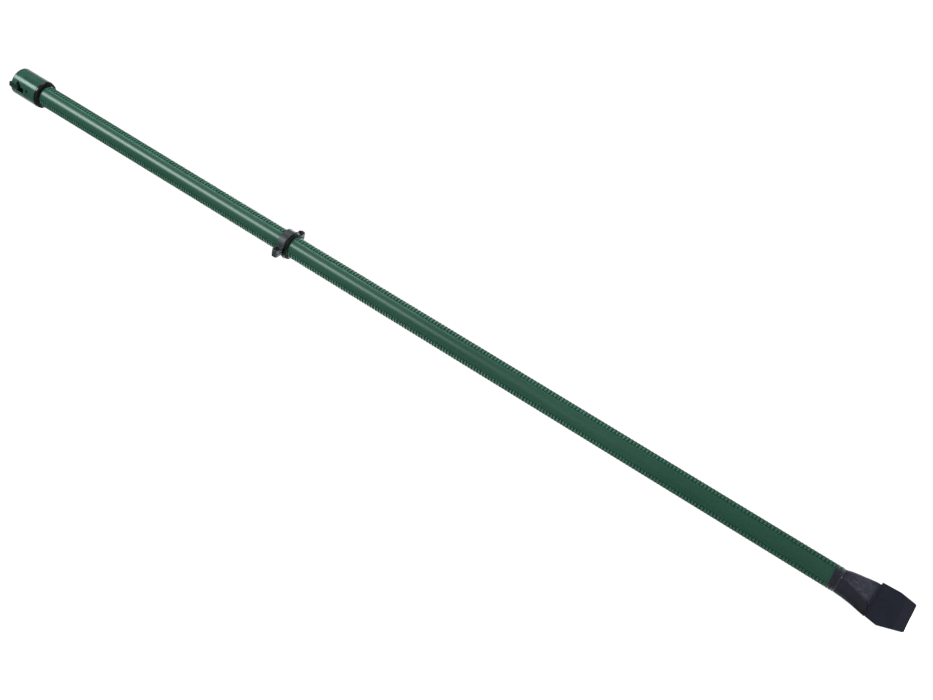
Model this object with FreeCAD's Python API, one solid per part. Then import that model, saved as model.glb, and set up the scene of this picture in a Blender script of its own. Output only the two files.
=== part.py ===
import FreeCAD, Part
import math, os
from FreeCAD import Vector as V

os.makedirs("parts", exist_ok=True)

# Driving bar (slender post driver) with a bayonet socket head, a sliding clamp
# collar and a flattened steel blade.  Units are millimetres.
# +Z runs up the bar from the blade to the socket.  The origin lies on the bar's
# axis at the lowest point of the blade.  -Y is the front; the blade lies in XZ.
# PHI is an angle about the bar measured from the front (-Y) towards -X.

# ---------------------------------------------------------------- dimensions
Z_TOP = 1487.5            # end face of the socket
Z_MOUTH = 1439.4          # lower end of the socket sleeve
Z_TUBE_TOP = 1461.1       # top of the steel tube inside the sleeve
Z_DIP_TOP = 104.2         # black dipped band over the lower end of the coat
Z_DIP_BOT = 91.4
Z_TUBE_END = 49.0         # flattened end of the tube, where the blade starts

R_CORE, WALL = 15.2, 2.0  # steel tube
R_CORE_IN = R_CORE - WALL
FIT = 0.02                # gap between pieces that are pressed or glued
R_SMOOTH = 15.75          # plain bands of the plastic coat
R_VALLEY = 15.45          # floor of the two grooves that hold the rib strips
R_RIB = 16.10             # crest of the grip ribs
PITCH_LEFT, PITCH_RIGHT = 4.59, 5.00
RIB_HALF_DEG = 53.0       # each rib strip covers this much each side of X
Z_COAT_TOP = 1445.2

R_SOCKET = 21.0           # socket sleeve
R_SOCKET_SEAT = 18.0      # bore the mating spigot enters
R_SOCKET_GUIDE = 17.5     # bore the plunger runs in
Z_SEAT = 1478.5           # step between the two bores
Z_LEDGE = 1461.5          # ledge the plunger stops on when pressed home
SLOT_W = 8.9              # bayonet entry slot
PHI_SLOT = 38.5
PHI_HOOK, S_HOOK = 20.0, 13.0    # end of the slot's hooked leg, depth below the top
S_LEG = 19.5                     # depth where the hooked leg leaves the entry slot
HOOK_W = 8.5
PHI_PIN, Z_PIN, R_PIN = 29.0, 1454.5, 2.45

PLUNGER_TRAVEL = 12.0
Z_DISC = 1473.7           # underside of the plunger disc at rest
DISC_T = 4.6
R_DISC = 17.40
R_STEM = 4.0
FINGER_W = 8.4
FINGER_TOP = Z_TOP + 3.3

Z_COLLAR_BOT, Z_COLLAR_TOP = 951.8, 964.3
R_COLLAR, R_COLLAR_IN = 21.0, 19.05
R_LINER_IN, R_LINER = 16.2, 19.0
Z_LINER_BOT, Z_LINER_TOP = 947.1, 963.3
Z_GROOVE = 956.5          # groove in the liner that the clamp turns in
PHI_LUG = 44.0            # the clamp's split plane and its two lugs
LUG_R, LUG_HALF_T, LUG_H = 32.8, 5.8, 10.0
SPLIT_GAP = 0.8
SCREW_R_POS = 26.3
Z_SCREW = Z_COLLAR_BOT + LUG_H / 2

PHI_RIVET, Z_RIVET = -72.0, 1429.4

# Blade outline in the XZ plane (x, z); it is skewed a little to one side.
BLADE = [(25.3, 49.0), (26.3, 25.6), (23.2, 3.4), (-13.3, 0.0), (-23.1, 31.0), (-20.6, 49.0)]
BLADE_T = 6.0
EDGE_T = 1.6
BEVEL_L = 13.0
TANG_W, TANG_T, TANG_L = 26.0, 3.2, 28.0

# Flattened neck of the tube: z, full width along X
Z_NECK = 103.6
NECK = [(Z_NECK, 30.4), (99.4, 30.4), (95.4, 30.4), (90.9, 31.6), (86.2, 33.2),
        (78.4, 35.3), (66.3, 38.6), (56.4, 42.0), (49.0, 43.4)]
# It is pressed a little to one side: z, shift of its middle along X
NECK_SHIFT = {86.2: 0.5, 78.4: 1.0, 66.3: 1.1, 56.4: 0.9, 49.0: 0.5, 48.0: 0.5}
NECK_IN = [(Z_NECK + 1.0, 30.4)] + NECK[1:-1] + [(48.0, 43.5)]


# ------------------------------------------------------------------- helpers
def ring(r_in, r_out, z0, z1):
    a = Part.makeCylinder(r_out, z1 - z0, V(0, 0, z0))
    return a.cut(Part.makeCylinder(r_in, z1 - z0 + 2, V(0, 0, z0 - 1)))


def unit(phi):
    a = math.radians(phi)
    return V(-math.sin(a), -math.cos(a), 0)


def radial_cyl(phi, z, r, r0, r1):
    u = unit(phi)
    return Part.makeCylinder(r, r1 - r0, u * r0 + V(0, 0, z), u)


def revolve(points, deg=360.0, start=0.0):
    wire = Part.makePolygon([V(r, 0, z) for r, z in points] + [V(points[0][0], 0, points[0][1])])
    s = Part.Face(wire).revolve(V(0, 0, 0), V(0, 0, 1), deg)
    s.rotate(V(0, 0, 0), V(0, 0, 1), start)
    return s


def revolve_edges(edges):
    return Part.Face(Part.Wire(edges)).revolve(V(0, 0, 0), V(0, 0, 1), 360)


def arc(a, b, c):
    return Part.Arc(V(a[0], 0, a[1]), V(b[0], 0, b[1]), V(c[0], 0, c[1])).toShape()


def line(a, b):
    return Part.makeLine(V(a[0], 0, a[1]), V(b[0], 0, b[1]))


def toothed(r_base, r_valley, r_crest, pitch, z0, z1, centre_deg, half_deg):
    """A strip of parallel ribs bent round the bar, as one solid."""
    n = max(1, int((z1 - z0) / pitch))
    p = (z1 - z0) / n
    pts = [(r_base, z0), (r_valley, z0)]
    for i in range(n):
        z = z0 + i * p
        pts += [(r_crest, z + 0.30 * p), (r_crest, z + 0.68 * p), (r_valley, z + p)]
    pts += [(r_base, z1)]
    return revolve(pts, 2 * half_deg, centre_deg - half_deg)


def obround(width, thick, z, n=40):
    """Closed smooth section with flat faces in front and behind."""
    r = thick / 2.0
    flat = max(0.0, width - thick)
    total = 2 * math.pi * r + 2 * flat
    pts = []
    for i in range(n):
        s = total * i / n
        q = math.pi * r / 2
        if s < q:
            a = s / r
            x, y = flat / 2 + r * math.cos(a), r * math.sin(a)
        elif s < q + flat:
            x, y = flat / 2 - (s - q), r
        elif s < 3 * q + flat:
            a = math.pi / 2 + (s - q - flat) / r
            x, y = -flat / 2 + r * math.cos(a), r * math.sin(a)
        elif s < 3 * q + 2 * flat:
            x, y = -flat / 2 + (s - 3 * q - flat), -r
        else:
            a = 1.5 * math.pi + (s - 3 * q - 2 * flat) / r
            x, y = flat / 2 + r * math.cos(a), r * math.sin(a)
        pts.append(V(x, y, z))
    c = Part.BSplineCurve()
    c.interpolate(pts, PeriodicFlag=True)
    return Part.Wire([c.toShape()])


def loft(wires):
    return Part.makeLoft(wires, True, False)


def neck_thickness(width):
    """The tube's girth stays the same while it is pressed flat."""
    girth = 2 * math.pi * R_CORE
    return min(width, (girth - 2 * width) / (math.pi - 2))


def neck_section(z, width, grow=0.0):
    wire = obround(width + grow, neck_thickness(width) + grow, z)
    wire.translate(V(NECK_SHIFT.get(z, 0.0), 0, 0))
    return wire


def save(name, shape):
    shape.exportStep("parts/" + name + ".step")
    print(name, "solids", len(shape.Solids), "valid", shape.isValid(), "volume", round(shape.Volume, 1))


# ----------------------------------------------------------------- the shaft
core = ring(R_CORE_IN, R_CORE, Z_NECK + FIT, Z_TUBE_TOP)
for phi in (PHI_RIVET, PHI_RIVET + 180):
    core = core.cut(radial_cyl(phi, Z_RIVET, 1.25, 10, 20))
for phi in (PHI_PIN, PHI_PIN + 180):
    core = core.cut(radial_cyl(phi, Z_PIN, R_PIN + 0.01, 10, 20))
save("core_tube", core)

# The neck is pressed from the same tube stock and joined to the shaft under the
# dipped band by a steel slug inside both.
neck_outer = loft([neck_section(z, w) for z, w in NECK])
neck_inner = loft([neck_section(z, w, -2 * WALL) for z, w in NECK_IN])
neck = neck_outer.cut(neck_inner)
neck_front = neck_thickness(40.3) / 2
# Two V creases pressed into the front of the flattened neck
for x0, z0, x1, z1 in ((-3.6, 60.5, -12.0, 50.5), (-1.2, 57.0, -10.0, 48.0)):
    a, b = V(x0, 0, z0), V(x1, 0, z1)
    d = (b - a).normalize()
    side = V(-d.z, 0, d.x)
    o = a + V(0, -neck_front - 1.2, 0)
    tri = Part.Face(Part.makePolygon([o - side * 1.1, o + side * 1.1, o + V(0, 2.0, 0), o - side * 1.1]))
    neck = neck.cut(tri.extrude(V((b - a).x, 2.6, (b - a).z)))
save("neck", neck)

joiner = revolve([(0, Z_NECK - 6.0), (11.8, Z_NECK - 6.0), (12.7, Z_NECK - 5.0), (12.7, Z_NECK + 0.1),
                  (R_CORE_IN - 0.1, Z_NECK + 0.1), (R_CORE_IN - 0.1, Z_NECK + 33.0),
                  (R_CORE_IN - 1.1, Z_NECK + 34.0), (0, Z_NECK + 34.0)])
save("neck_joiner", joiner)

sleeve = ring(R_CORE + FIT, R_SMOOTH, Z_DIP_TOP, Z_COAT_TOP)
Z_RIB_TOP = Z_MOUTH - 7.2
for centre in (0.0, 180.0):
    groove = revolve([(R_VALLEY, Z_DIP_TOP - 1), (R_SMOOTH + 1, Z_DIP_TOP - 1),
                      (R_SMOOTH + 1, Z_RIB_TOP + FIT), (R_VALLEY, Z_RIB_TOP + FIT)],
                     2 * RIB_HALF_DEG + 0.2, centre - RIB_HALF_DEG - 0.1)
    sleeve = sleeve.cut(groove)
for phi in (PHI_RIVET, PHI_RIVET + 180):
    sleeve = sleeve.cut(radial_cyl(phi, Z_RIVET, 1.25, 10, 20))
save("shaft_sleeve", sleeve)

for name, pitch, centre, phi in (("rib_strip_left", PITCH_LEFT, 180.0, PHI_RIVET + 180),
                                 ("rib_strip_right", PITCH_RIGHT, 0.0, PHI_RIVET)):
    strip = toothed(R_VALLEY + FIT, R_VALLEY + 0.12, R_RIB, pitch, Z_DIP_TOP, Z_RIB_TOP,
                    centre, RIB_HALF_DEG)
    strip = strip.cut(radial_cyl(phi, Z_RIVET, 1.25, 10, 20))
    save(name, strip)

band = revolve([(R_CORE + FIT, Z_DIP_BOT), (R_SMOOTH - 0.15, Z_DIP_BOT), (R_SMOOTH + 0.12, Z_DIP_BOT + 0.5),
                (R_SMOOTH + 0.12, Z_DIP_TOP - FIT), (R_CORE + FIT, Z_DIP_TOP - FIT)])
for pitch, centre in ((PITCH_LEFT, 180.0), (PITCH_RIGHT, 0.0)):
    band = band.fuse(toothed(R_CORE + 0.3, R_SMOOTH - 0.05, R_RIB + 0.08, pitch,
                             Z_DIP_BOT + 0.8, Z_DIP_TOP - FIT, centre, RIB_HALF_DEG))
# The neck starts to widen just inside the band, so the band is opened to clear it.
band = band.cut(loft([neck_section(z, w, 0.08) for z, w in NECK]))
save("dip_band", band)

rivets = []
for phi in (PHI_RIVET, PHI_RIVET + 180):
    u = unit(phi)
    body = Part.makeCylinder(1.2, 4.2, u * 12.6 + V(0, 0, Z_RIVET), u)
    head = Part.makeCylinder(1.9, 0.6, u * (R_RIB + 0.04) + V(0, 0, Z_RIVET), u)
    tail = Part.makeCylinder(1.8, 0.5, u * 12.55 + V(0, 0, Z_RIVET), u)
    eye = Part.makeCylinder(0.7, 8, u * 11 + V(0, 0, Z_RIVET), u)
    rivets.append(body.fuse(head).fuse(tail).cut(eye))
save("sleeve_rivets", Part.makeCompound(rivets))

# ----------------------------------------------------------------- the blade
face = Part.Face(Part.makePolygon([V(x, -BLADE_T / 2, z) for x, z in BLADE + BLADE[:1]]))
plate = face.extrude(V(0, BLADE_T, 0))
corners = [e for e in plate.Edges
           if abs(e.Length - BLADE_T) < 1e-6 and e.Vertexes[0].Z < 48.0 and e.Vertexes[0].Z > 0.0]
plate = plate.makeFillet(2.5, corners)
skew = math.degrees(math.atan2(BLADE[2][1] - BLADE[3][1], BLADE[2][0] - BLADE[3][0]))
for side in (-1, 1):
    tri = Part.Face(Part.makePolygon([
        V(-60, side * BLADE_T / 2 * 1.001, BEVEL_L), V(-60, side * EDGE_T / 2, -0.2),
        V(-60, side * EDGE_T / 2, -8), V(-60, side * 9, -8), V(-60, side * 9, BEVEL_L),
        V(-60, side * BLADE_T / 2 * 1.001, BEVEL_L)]))
    wedge = tri.extrude(V(120, 0, 0))
    wedge.rotate(V(BLADE[3][0], 0, 0), V(0, 1, 0), -skew)
    plate = plate.cut(wedge)
tang = Part.makeBox(TANG_W, TANG_T, TANG_L + 2, V(-TANG_W / 2, -TANG_T / 2, Z_TUBE_END - 2))
tang_edges = [e for e in tang.Edges if e.Vertexes[0].Z > Z_TUBE_END + 5 and e.Vertexes[-1].Z > Z_TUBE_END + 5
              and abs(e.Length - TANG_T) < 1e-6]
tang = tang.makeFillet(5.0, tang_edges)
plate = plate.fuse(tang).removeSplitter()
save("blade_plate", plate)

w_end, t_end = NECK[-1][1], neck_thickness(NECK[-1][1])
bead_lo = Part.Face(obround(w_end + 1.0, t_end + 1.2, Z_TUBE_END - 2.2))
bead = Part.makeLoft([obround(w_end + 0.6, t_end + 0.6, Z_TUBE_END - 2.2),
                      obround(w_end + 3.0, t_end + 3.4, Z_TUBE_END - 0.9),
                      obround(w_end + 3.2, t_end + 3.6, Z_TUBE_END + 0.8),
                      obround(w_end + 1.4, t_end + 1.8, Z_TUBE_END + 2.6)], True, False)
bead.translate(V(NECK_SHIFT[49.0], 0, 0))
bead = bead.cut(neck_outer).cut(plate)
bead = bead.cut(Part.makeBox(60, 30, 8, V(-30, -15, Z_TUBE_END - 8)).common(
    Part.makeBox(w_end * 0.98, 3.9, 20, V(-w_end * 0.49, -1.95, Z_TUBE_END - 10))))
bead = Part.makeCompound([s for s in bead.Solids if s.Volume > 1.0])
save("blade_weld", bead)

# ------------------------------------------------------------------ the head
sock = revolve([(R_CORE + FIT, Z_MOUTH), (R_SOCKET - 0.4, Z_MOUTH), (R_SOCKET, Z_MOUTH + 0.4),
                (R_SOCKET, Z_TOP - 1.2), (R_SOCKET - 1.2, Z_TOP), (R_SOCKET_SEAT + 0.5, Z_TOP),
                (R_SOCKET_SEAT, Z_TOP - 0.5), (R_SOCKET_SEAT, Z_SEAT), (R_SOCKET_GUIDE, Z_SEAT - 0.5),
                (R_SOCKET_GUIDE, Z_LEDGE), (R_CORE + FIT, Z_LEDGE)])
sock = sock.cut(Part.makeCylinder(R_SMOOTH + 0.05, Z_COAT_TOP + 0.2 - Z_MOUTH + 1, V(0, 0, Z_MOUTH - 1)))


def at_phi(shape, phi):
    """Turn a shape built looking along -Y (phi 0) to the given phi."""
    shape.rotate(V(0, 0, 0), V(0, 0, 1), -phi)
    return shape


for side in (0, 180):
    leg = Part.makeBox(SLOT_W, 12, 60, V(-SLOT_W / 2, -24, Z_LEDGE - 0.5))
    sock = sock.cut(at_phi(leg, PHI_SLOT + side))
    mid = (PHI_SLOT + PHI_HOOK) / 2
    u0 = -R_SOCKET * math.sin(math.radians(PHI_SLOT - mid))
    u1 = -R_SOCKET * math.sin(math.radians(PHI_HOOK - mid))
    a, b = V(u0, -26, Z_TOP - S_LEG), V(u1, -26, Z_TOP - S_HOOK)
    hook = Part.makeCylinder(HOOK_W / 2, 14, a, V(0, 1, 0)).fuse(Part.makeCylinder(HOOK_W / 2, 14, b, V(0, 1, 0)))
    d = (b - a)
    n = V(-d.z, 0, d.x) * (HOOK_W / 2 / d.Length)
    quad = Part.Face(Part.makePolygon([a + n, b + n, b - n, a - n, a + n])).extrude(V(0, 14, 0))
    hook = hook.fuse(quad).removeSplitter()
    sock = sock.cut(at_phi(hook, mid + side))
    sock = sock.cut(radial_cyl(PHI_PIN + side, Z_PIN, R_PIN + 0.01, 10, 24))
save("head_socket", sock)

Z_RING = Z_MOUTH - 6.4
mouth = revolve_edges([line((R_SMOOTH + 0.03, Z_RING), (16.7, Z_RING)),
                       arc((16.7, Z_RING), (20.0, Z_MOUTH - 4.7), (21.7, Z_MOUTH - 1.4)),
                       line((21.7, Z_MOUTH - 1.4), (21.5, Z_MOUTH - FIT)),
                       line((21.5, Z_MOUTH - FIT), (R_SMOOTH + 0.03, Z_MOUTH - FIT)),
                       line((R_SMOOTH + 0.03, Z_MOUTH - FIT), (R_SMOOTH + 0.03, Z_RING))])
save("mouth_ring", mouth)

pins = []
for side in (0, 180):
    u = unit(PHI_PIN + side)
    p = Part.makeCylinder(R_PIN, 8.4, u * 11.7 + V(0, 0, Z_PIN), u)
    p = p.makeChamfer(0.4, [e for e in p.Edges if e.Length > 10 and abs(e.CenterOfMass.dot(u) - 20.1) < 0.01])
    pins.append(p.cut(Part.makeCylinder(1.0, 9, u * 11 + V(0, 0, Z_PIN), u)))
save("head_pins", Part.makeCompound(pins))

Z_BUSH = Z_DISC - 42.2
Z_SPRING = Z_BUSH + 8.0   # floor of the bush, where the spring stands
bush = ring(R_STEM + 0.05, R_CORE_IN - FIT, Z_BUSH, Z_TUBE_TOP - 0.1)
bush = bush.cut(Part.makeCylinder(11.0, 40, V(0, 0, Z_SPRING)))
for side in (0, 180):
    bush = bush.cut(radial_cyl(PHI_PIN + side, Z_PIN, R_PIN + 0.01, 10, 20))
save("guide_bush", bush)

disc = Part.makeCylinder(R_DISC, DISC_T, V(0, 0, Z_DISC))
disc = disc.makeChamfer(0.6, [e for e in disc.Edges if e.Length > 90 and e.CenterOfMass.z > Z_DISC + 2])
stem = Part.makeCylinder(R_STEM, Z_DISC - (Z_BUSH - 6.5) + 1, V(0, 0, Z_BUSH - 6.5))
plunger = disc.fuse(stem)
fing_in = 18.65
for side in (0, 180):
    foot = Part.makeBox(FINGER_W, 20.6 - 15.0, DISC_T, V(-FINGER_W / 2, -20.6, Z_DISC))
    post = Part.makeBox(FINGER_W, 4.0, FINGER_TOP - Z_DISC, V(-FINGER_W / 2, -20.9, Z_DISC))
    f = foot.fuse(post)
    f = f.common(Part.makeCylinder(20.6, 60, V(0, 0, Z_DISC - 1)))
    f = f.cut(Part.makeCylinder(fing_in, 40, V(0, 0, Z_DISC + DISC_T)))
    f = f.removeSplitter()
    tips = [e for e in f.Edges if e.Vertexes[0].Z > FINGER_TOP - 0.01 and e.Vertexes[-1].Z > FINGER_TOP - 0.01
            and e.Length < 4.0]
    try:
        f = f.makeFillet(1.4, tips)
    except Exception:
        pass
    plunger = plunger.fuse(at_phi(f, PHI_SLOT + side))
plunger = plunger.cut(ring(3.0, 6.0, Z_BUSH - 2.8, Z_BUSH - 1.6))
dimple = Part.makeSphere(14.0, V(0, 0, Z_DISC + DISC_T + 12.6))
plunger = plunger.cut(dimple).removeSplitter()
save("plunger", plunger)

washer = ring(R_STEM + 0.06, 8.0, Z_BUSH - 1.5, Z_BUSH - FIT)
save("plunger_washer", washer)

clip = ring(3.02, 6.4, Z_BUSH - 2.75, Z_BUSH - 1.65)
clip = clip.cut(Part.makeBox(4.6, 10, 4, V(-2.3, -10, Z_BUSH - 4)))
for a in (60, 180, 300):
    notch = Part.makeCylinder(0.9, 4, V(4.2, 0, Z_BUSH - 4))
    notch.rotate(V(0, 0, 0), V(0, 0, 1), a - 90)
    if a != 180:
        clip = clip.cut(notch)
save("plunger_clip", clip)

WIRE, COIL_R = 0.8, 8.2
z0, z1 = Z_SPRING + WIRE + 0.02, Z_DISC - WIRE - 0.02
turns = 7.0
helix = Part.makeHelix((z1 - z0) / turns, z1 - z0, COIL_R)
helix.translate(V(0, 0, z0))
prof = Part.Wire([Part.makeCircle(WIRE, V(COIL_R, 0, z0), V(0, 1, 0))])
spring = Part.Wire(helix.Edges).makePipeShell([prof], True, True)
save("plunger_spring", spring)

# ---------------------------------------------------------------- the collar
# Built with its lugs along +X and -X, then turned to PHI_LUG.
TURN = -90.0 - PHI_LUG


def place(shape):
    shape.rotate(V(0, 0, 0), V(0, 0, 1), TURN)
    return shape


band_s = Part.makeCylinder(R_COLLAR, Z_COLLAR_TOP - Z_COLLAR_BOT, V(0, 0, Z_COLLAR_BOT))
band_s = band_s.makeFillet(1.1, [e for e in band_s.Edges if e.Length > 100])
for sx in (1, -1):
    lug = Part.makeBox(LUG_R - 15, 2 * LUG_HALF_T, LUG_H, V(15, -LUG_HALF_T, Z_COLLAR_BOT + 0.05))
    if sx < 0:
        lug.rotate(V(0, 0, 0), V(0, 0, 1), 180)
    outer = [e for e in lug.Edges if min(abs(v.X) for v in e.Vertexes) > LUG_R - 0.01]
    lug = lug.makeFillet(4.0, [e for e in outer if abs(e.Length - 2 * LUG_HALF_T) < 1e-6])
    rim = [e for e in lug.Edges if min(abs(v.X) for v in e.Vertexes) > LUG_R - 4.1
           and abs(abs(e.CenterOfMass.y) - LUG_HALF_T) < 1e-6]
    lug = lug.makeFillet(0.8, rim)
    band_s = band_s.fuse(lug)
band_s = band_s.removeSplitter()
band_s = band_s.cut(Part.makeCylinder(R_COLLAR_IN, 40, V(0, 0, Z_COLLAR_BOT - 10)))
band_s = band_s.fuse(ring(18.3, R_COLLAR_IN + 0.5, Z_GROOVE, Z_GROOVE + 2.0))
for sx in (1, -1):
    x = sx * SCREW_R_POS
    band_s = band_s.cut(Part.makeCylinder(2.15, 30, V(x, -15, Z_SCREW), V(0, 1, 0)))
    band_s = band_s.cut(Part.makeCylinder(3.75, 10, V(x, LUG_HALF_T - 3.0, Z_SCREW), V(0, 1, 0)))


def hexagon(af, x, y0, y1, z):
    rr = af / math.sqrt(3)
    pts = [V(x + rr * math.cos(math.radians(60 * i + 30)), y0, z + rr * math.sin(math.radians(60 * i + 30)))
           for i in range(7)]
    return Part.Face(Part.makePolygon(pts)).extrude(V(0, y1 - y0, 0))


for sx in (1, -1):
    band_s = band_s.cut(hexagon(7.1, sx * SCREW_R_POS, -LUG_HALF_T - 5, -LUG_HALF_T + 3.2, Z_SCREW))
half = Part.makeBox(80, 40, 40, V(-40, SPLIT_GAP / 2, Z_COLLAR_BOT - 15))
front = band_s.common(half)
back_box = Part.makeBox(80, 40, 40, V(-40, -40 - SPLIT_GAP / 2, Z_COLLAR_BOT - 15))
back = band_s.common(back_box)
save("collar_front", place(front))
save("collar_back", place(back))

liner = revolve([(R_LINER_IN + 0.4, Z_LINER_BOT), (18.6, Z_LINER_BOT), (19.6, Z_LINER_BOT + 0.9),
                 (19.6, Z_COLLAR_BOT - 0.1), (R_LINER, Z_COLLAR_BOT - 0.1), (R_LINER, Z_GROOVE - 0.15), (18.22, Z_GROOVE - 0.15),
                 (18.22, Z_GROOVE + 2.15), (R_LINER, Z_GROOVE + 2.15), (R_LINER, Z_LINER_TOP), (R_LINER_IN, Z_LINER_TOP),
                 (R_LINER_IN, Z_LINER_BOT + 0.4)])
liner = liner.cut(at_phi(Part.makeBox(2.0, 12, 30, V(-1.0, -24, Z_LINER_BOT - 5)), 180))
save("collar_liner", liner)

screws, washers, nuts = [], [], []
for sx in (1, -1):
    x = sx * SCREW_R_POS
    y_seat = LUG_HALF_T - 3.0
    washers.append(place(Part.makeCylinder(3.6, 0.6, V(x, y_seat + 0.02, Z_SCREW), V(0, 1, 0)).cut(
        Part.makeCylinder(2.1, 3, V(x, y_seat - 1, Z_SCREW), V(0, 1, 0)))))
    head = Part.makeCylinder(3.5, 3.6, V(x, y_seat + 0.64, Z_SCREW), V(0, 1, 0))
    rim = [e for e in head.Edges if e.Length > 20 and e.CenterOfMass.y > y_seat + 3]
    head = head.makeFillet(0.5, rim)
    head = head.cut(hexagon(3.0, x, y_seat + 2.0, y_seat + 8, Z_SCREW))
    shank = Part.makeCylinder(1.95, y_seat + 0.7 + LUG_HALF_T + 0.6, V(x, -LUG_HALF_T - 0.6, Z_SCREW), V(0, 1, 0))
    screws.append(place(head.fuse(shank)))
    nut = hexagon(7.0, x, -LUG_HALF_T + 0.05, -LUG_HALF_T + 3.17, Z_SCREW)
    nut = nut.cut(Part.makeCylinder(1.97, 30, V(x, -15, Z_SCREW), V(0, 1, 0)))
    nuts.append(place(nut))
save("collar_screws", Part.makeCompound(screws))
save("collar_washers", Part.makeCompound(washers))
save("collar_nuts", Part.makeCompound(nuts))
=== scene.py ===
import bpy, bmesh, math, random
import numpy as np
from mathutils import Vector, Matrix, noise


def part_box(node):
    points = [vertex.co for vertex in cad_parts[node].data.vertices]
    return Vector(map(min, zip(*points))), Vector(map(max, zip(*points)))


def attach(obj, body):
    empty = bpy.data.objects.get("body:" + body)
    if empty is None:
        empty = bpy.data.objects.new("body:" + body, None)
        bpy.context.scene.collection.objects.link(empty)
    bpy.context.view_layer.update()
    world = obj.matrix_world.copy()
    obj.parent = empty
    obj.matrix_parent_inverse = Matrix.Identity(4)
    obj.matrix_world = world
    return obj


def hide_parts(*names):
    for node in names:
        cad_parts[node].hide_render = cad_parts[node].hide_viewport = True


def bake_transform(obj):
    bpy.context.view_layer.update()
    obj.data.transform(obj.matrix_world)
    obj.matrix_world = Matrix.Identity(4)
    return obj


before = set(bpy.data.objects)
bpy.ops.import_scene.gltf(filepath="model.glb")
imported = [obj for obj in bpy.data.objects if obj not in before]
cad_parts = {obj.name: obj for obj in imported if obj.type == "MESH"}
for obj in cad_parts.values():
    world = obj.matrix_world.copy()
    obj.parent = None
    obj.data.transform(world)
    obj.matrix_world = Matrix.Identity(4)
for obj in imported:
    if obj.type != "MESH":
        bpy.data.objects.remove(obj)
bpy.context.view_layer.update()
MM = 0.001
scene = bpy.context.scene

# --------------------------------------------------------------- small tools


def smooth(t):
    t = max(0.0, min(1.0, t))
    return t * t * (3 - 2 * t)


def pl(x, pts):
    """Piecewise linear value through (x, y) pairs given in rising x."""
    if x <= pts[0][0]:
        return pts[0][1]
    for (x0, y0), (x1, y1) in zip(pts, pts[1:]):
        if x <= x1:
            return y0 + (y1 - y0) * (x - x0) / (x1 - x0)
    return pts[-1][1]


def cubic(x, pts):
    """Smooth monotone-ish curve through (x, y) pairs."""
    xs = [p[0] for p in pts]
    ys = [p[1] for p in pts]
    if x <= xs[0]:
        return ys[0]
    if x >= xs[-1]:
        return ys[-1]
    i = max(k for k in range(len(xs) - 1) if xs[k] <= x)
    h = xs[i + 1] - xs[i]
    d = [(ys[k + 1] - ys[k]) / (xs[k + 1] - xs[k]) for k in range(len(xs) - 1)]

    def slope(k):
        if k == 0 or k == len(xs) - 1:
            return d[min(k, len(d) - 1)] if k else d[0]
        if d[k - 1] * d[k] <= 0:
            return 0.0
        return 2 * d[k - 1] * d[k] / (d[k - 1] + d[k])
    m0, m1 = slope(i), slope(i + 1)
    t = (x - xs[i]) / h
    return ((2 * t ** 3 - 3 * t ** 2 + 1) * ys[i] + (t ** 3 - 2 * t ** 2 + t) * h * m0
            + (-2 * t ** 3 + 3 * t ** 2) * ys[i + 1] + (t ** 3 - t ** 2) * h * m1)


def make_mesh(name, verts, faces, mat=None, shade=True):
    me = bpy.data.meshes.new(name)
    me.from_pydata([tuple(v) for v in verts], [], faces)
    me.update()
    ob = bpy.data.objects.new(name, me)
    scene.collection.objects.link(ob)
    if shade:
        me.polygons.foreach_set("use_smooth", [True] * len(me.polygons))
    if mat:
        me.materials.append(mat)
    return ob


def grid_faces(rows, cols, closed):
    faces = []
    for j in range(rows - 1):
        for i in range(cols if closed else cols - 1):
            a = j * cols + i
            b = j * cols + (i + 1) % cols
            faces.append((a, b, b + cols, a + cols))
    return faces


def lathe(name, profile, seg, mat, wobble=None):
    """Closed profile of (r, z) in mm turned about Z."""
    verts, n = [], len(profile)
    for k in range(seg):
        a = 2 * math.pi * k / seg
        for j, (r, z) in enumerate(profile):
            rr = r + (wobble(a, j, r, z) if wobble else 0.0)
            verts.append((rr * math.cos(a) * MM, rr * math.sin(a) * MM, z * MM))
    faces = []
    for k in range(seg):
        for j in range(n):
            a, b = k * n + j, k * n + (j + 1) % n
            c, d = ((k + 1) % seg) * n + (j + 1) % n, ((k + 1) % seg) * n + j
            faces.append((a, d, c, b))
    return make_mesh(name, verts, faces, mat)


def arc_pts(cx, cz, r, a0, a1, n):
    return [(cx + r * math.cos(math.radians(a0 + (a1 - a0) * i / n)),
             cz + r * math.sin(math.radians(a0 + (a1 - a0) * i / n))) for i in range(n + 1)]


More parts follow.
